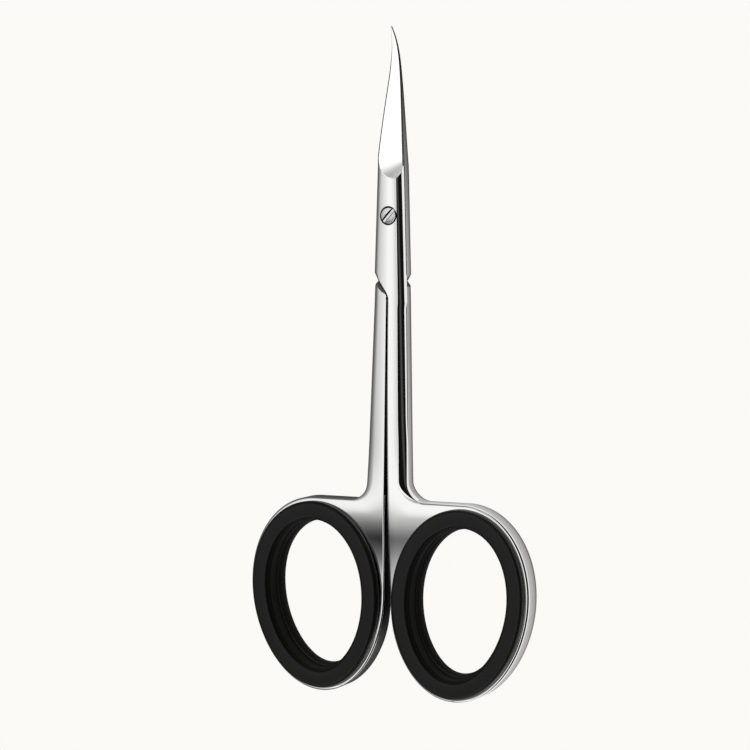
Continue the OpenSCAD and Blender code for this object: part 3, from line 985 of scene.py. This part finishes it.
def insert_section():
    """Half of an insert's section from its mid plane up, as (outward from the
    bow's edge, height)"""
    arc = 10
    top = INSERT_T / 2
    outer = -FLANGE_INSET
    hole = -FLANGE_INSET - FLANGE_W
    groove = METAL_T / 2 + INSERT_CLEARANCE
    floor = -BOW_BAND - INSERT_CLEARANCE
    rows = [(floor, 0), (floor, groove), (outer, groove)]
    for k in range(arc + 1):
        q = 0.5 * math.pi * k / arc
        rows.append((
            outer - FLANGE_ROUND * (1 - math.cos(q)), top - FLANGE_ROUND * (1 - math.sin(q)),
        ))
    for k in range(arc + 1):
        q = 0.5 * math.pi * k / arc
        rows.append((
            hole + LIP_STEP + (LIP_W - LIP_STEP) * (1 - math.sin(q)),
            top - LIP_DEPTH * (1 - math.cos(q)),
        ))
    return rows + [(hole, top - LIP_DEPTH - LIP_STEP), (hole, 0)]


def finger_insert(side, name, material):
    """Grooved ring that lines the right bow. Its hole is narrower at the back,
    behind a low ledge."""
    upper = insert_section()
    hole, bottom = upper[-1][0], -INSERT_T / 2
    ledge = hole - LEDGE_W
    back = [(out, -z) for out, z in upper[-2:0:-1] if out > hole + LIP_W + LIP_STEP]
    section = upper + [
        (hole, -0.45), (hole - 0.3 * LEDGE_W, -0.5), (hole - 0.75 * LEDGE_W, -0.65),
        (ledge, -0.95), (ledge, bottom + 0.55), (ledge + 0.15, bottom + 0.2),
        (ledge + 0.45, bottom),
    ] + back
    around = 2 * BOW_STEPS

    def place(i, k):
        out, z = section[k % len(section)]
        p = bow_point(2 * math.pi * i / around, out)
        return Vector((p.x, p.y, side * z))

    bm = bent_grid(around, len(section), place)
    for face in bm.faces:
        face.smooth = True
    return finish_piece(bm, name, [material])


def settle(piece, side):
    """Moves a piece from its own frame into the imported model's frame"""
    turn = Matrix.Identity(4) if side > 0 else Matrix.Rotation(math.pi, 4, "Y")
    shift = Matrix.Translation((0, -TOTAL_LENGTH / 2, INSERT_T / 2))
    piece.data.transform(Matrix.Scale(MM, 4) @ shift @ turn)
    piece.data.set_sharp_from_angle(angle=math.radians(32))
    return piece


polished = mirror_polished_steel()
brushed = belt_brushed_steel()
ground = wheel_ground_steel()
screw_finish = turned_screw_steel()
silicone = moulded_silicone()
darkened = painted_shade_steel()
steels = [polished, brushed, ground, darkened]

front_half = scissor_half(1, "front_blade_half", steels)
rear_half = scissor_half(-1, "rear_blade_half", steels)
# The slot's walls take the painted shade
screw = pivot_screw(screw_finish, [darkened, screw_finish])
right_insert = finger_insert(1, "right_insert", silicone)
left_insert = finger_insert(-1, "left_insert", silicone)

for piece, side, body, node, slot in (
    (front_half, 1, "front_scissor", "front_half", "polished_steel"),
    (rear_half, -1, "rear_scissor", "rear_half", "polished_steel"),
    (screw, 1, "rear_scissor", "pivot_screw", "screw_steel"),
    (right_insert, 1, "front_scissor", "right_finger_insert", "insert_rubber"),
    (left_insert, -1, "rear_scissor", "left_finger_insert", "insert_rubber"),
):
    settle(piece, side)
    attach(piece, body)
    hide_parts(node)


def studio_floor():
    """Pale floor. Seen directly and in the steel it is the plain white
    background, with a trace of the soft shadow left in it. Under the gap and
    under the right finger hole, a painted shadow darkens what the steel and
    the inserts reflect of it."""
    material, tree, shader = new_material("matt_paper")
    shader.inputs["Base Color"].default_value = linear("#EDEDEB")
    shader.inputs["Roughness"].default_value = 0.9
    rays = add_node(tree, "ShaderNodeLightPath")
    seen = add_node(tree, "ShaderNodeMath", {
        0: rays.outputs["Is Camera Ray"], 1: rays.outputs["Is Glossy Ray"],
    }, operation="MAXIMUM")
    seen = add_node(tree, "ShaderNodeMath", {
        0: seen.outputs["Value"], 1: rays.outputs["Is Transmission Ray"],
    }, operation="MAXIMUM")
    share = add_node(tree, "ShaderNodeMath", {
        0: seen.outputs["Value"], 1: 0.98,
    }, operation="MULTIPLY")
    place = add_node(tree, "ShaderNodeTexCoord").outputs["Object"]
    parts = add_node(tree, "ShaderNodeSeparateXYZ", {"Vector": place})
    # Painted shadow in what the steel reflects of the floor: beside the gap and inside the right
    # finger hole
    beside = add_node(tree, "ShaderNodeMapRange", {
        "Value": parts.outputs["X"], "From Min": 1.5 * MM, "From Max": 3.5 * MM,
        "To Min": 0.12, "To Max": 1.0,
    })
    centre, radii = (10.0, -36.3), (10.0, 13.0)
    ring = add_node(tree, "ShaderNodeMapping", {
        "Vector": place,
        "Location": [-c / r for c, r in zip(centre, radii)] + [0],
        "Scale": [1 / (r * MM) for r in radii] + [0],
    })
    outward = add_node(tree, "ShaderNodeVectorMath", {
        0: ring.outputs["Vector"],
    }, operation="LENGTH")
    inside = add_node(tree, "ShaderNodeMapRange", {
        "Value": outward.outputs["Value"], "From Min": 0.9, "From Max": 1.15,
        "To Min": 0.12, "To Max": 1.0,
    })
    shade = add_node(tree, "ShaderNodeMath", {
        0: beside.outputs["Result"], 1: inside.outputs["Result"],
    }, operation="MULTIPLY")
    level = add_node(tree, "ShaderNodeMix", {
        "Factor": rays.outputs["Is Glossy Ray"], "A": 1.0, "B": shade.outputs["Value"],
    })
    glow = add_node(tree, "ShaderNodeEmission", {
        "Color": linear("#FCFBF8"), "Strength": level.outputs["Result"],
    })
    blend = add_node(tree, "ShaderNodeMixShader", {
        0: share.outputs["Value"], 1: shader.outputs["BSDF"], 2: glow.outputs["Emission"],
    })
    tree.links.new(blend.outputs["Shader"], tree.nodes["Material Output"].inputs["Surface"])
    bm = bmesh.new()
    bmesh.ops.create_grid(bm, x_segments=1, y_segments=1, size=2.0)
    finish_piece(bm, "floor", [material])


def studio_world():
    """Soft studio seen by direction: a bright overhead panel, with dark
    flags on the right and grey ones on the left. Its levels are given by the
    degrees from straight up towards +X, times those by the degrees from level
    towards +Y, which differ on the left and on the right."""
    world = bpy.data.worlds.new("studio")
    bpy.context.scene.world = world
    world.use_nodes = True
    tree = world.node_tree
    background = tree.nodes["Background"]
    direction = add_node(tree, "ShaderNodeTexCoord").outputs["Generated"]
    parts = add_node(tree, "ShaderNodeSeparateXYZ", {"Vector": direction})
    sideways = add_node(tree, "ShaderNodeMath", {
        0: parts.outputs["X"], 1: parts.outputs["Z"],
    }, operation="ARCTAN2")
    turn = add_node(tree, "ShaderNodeMapRange", {
        "Value": sideways.outputs["Value"], "From Min": -math.pi, "From Max": math.pi,
    })
    across = add_node(tree, "ShaderNodeValToRGB", {"Fac": turn.outputs["Result"]})
    fill_ramp(across, [
        (0.5 + degrees / 360, level) for degrees, level in [
            (-92, 0.07), (-75, 0.13), (-60, 0.24), (-48, 0.34), (-40, 0.42), (-32, 0.6),
            (-24, 0.77), (-18, 0.74), (-11, 0.46), (-4, 0.4), (2, 0.55), (6, 1.0),
            (17, 1.0), (22, 0.004), (46, 0.004), (53, 0.06), (60, 0.004), (90, 0.004),
        ]
    ])
    lengthwise = add_node(tree, "ShaderNodeMapRange", {
        "Value": parts.outputs["Y"], "From Min": -1.0, "From Max": 1.0,
    })
    along = []
    for table in (
        [
            (-35, 1.0), (-26, 0.7), (-19, 0.5), (-15, 0.1), (-13.5, 0.02), (-12.7, 0.017),
            (-11.7, 0.083), (-10.6, 0.2), (-9.6, 0.46), (-8.9, 0.6), (-8.2, 0.8), (-7, 0.97),
            (-6, 1.0), (30, 1.0), (60, 0.5),
        ],
        [(15, 1.0), (22, 0.9), (38, 0.72), (61, 0.5)],
    ):
        along.append(add_node(tree, "ShaderNodeValToRGB", {"Fac": lengthwise.outputs["Result"]}))
        fill_ramp(along[-1], [
            (0.5 + 0.5 * math.sin(math.radians(degrees)), level) for degrees, level in table
        ])
    rightward = add_node(tree, "ShaderNodeMapRange", {
        "Value": turn.outputs["Result"], "From Min": 0.5 - 3 / 360, "From Max": 0.5 + 3 / 360,
    })
    along = add_node(tree, "ShaderNodeMix", {
        "Factor": rightward.outputs["Result"],
        "A": along[0].outputs["Color"], "B": along[1].outputs["Color"],
    }, data_type="RGBA")
    light = add_node(tree, "ShaderNodeMix", {
        "Factor": 1.0, "A": across.outputs["Color"], "B": along.outputs["Result"],
    }, data_type="RGBA", blend_type="MULTIPLY")
    rays = add_node(tree, "ShaderNodeLightPath")
    shown = add_node(tree, "ShaderNodeMix", {
        "Factor": rays.outputs["Is Camera Ray"],
        "A": light.outputs["Result"], "B": linear("#FCFBF8"),
    }, data_type="RGBA")
    level = add_node(tree, "ShaderNodeMapRange", {
        "Value": rays.outputs["Is Camera Ray"], "To Min": 1.4, "To Max": 1.0,
    })
    tree.links.new(shown.outputs["Result"], background.inputs["Color"])
    tree.links.new(level.outputs["Result"], background.inputs["Strength"])


def photo_camera():
    """The photograph's view: from above, turned 25 degrees to the right"""
    azimuth, elevation, roll = math.radians(24.98), math.radians(3.29), math.radians(0.27)
    distance = 341.07 * MM
    target = Vector((-2.86, 49.66 - TOTAL_LENGTH / 2, INSERT_T / 2)) * MM
    back = Vector((
        math.sin(azimuth) * math.cos(elevation), math.sin(elevation),
        math.cos(azimuth) * math.cos(elevation),
    ))
    right = Vector((math.cos(azimuth), 0, -math.sin(azimuth)))
    up = back.cross(right)
    axes = Matrix((
        math.cos(roll) * right + math.sin(roll) * up,
        math.cos(roll) * up - math.sin(roll) * right,
        back,
    )).transposed()
    camera = bpy.data.objects.new("camera", bpy.data.cameras.new("camera"))
    camera.data.sensor_width = 36
    camera.data.lens = 105.9
    camera.data.clip_start, camera.data.clip_end = 0.01, 10
    camera.matrix_world = Matrix.Translation(target + back * distance) @ axes.to_4x4()
    bpy.context.scene.collection.objects.link(camera)
    bpy.context.scene.camera = camera


studio_floor()
studio_world()
photo_camera()
bpy.context.scene.view_settings.view_transform = "Standard"
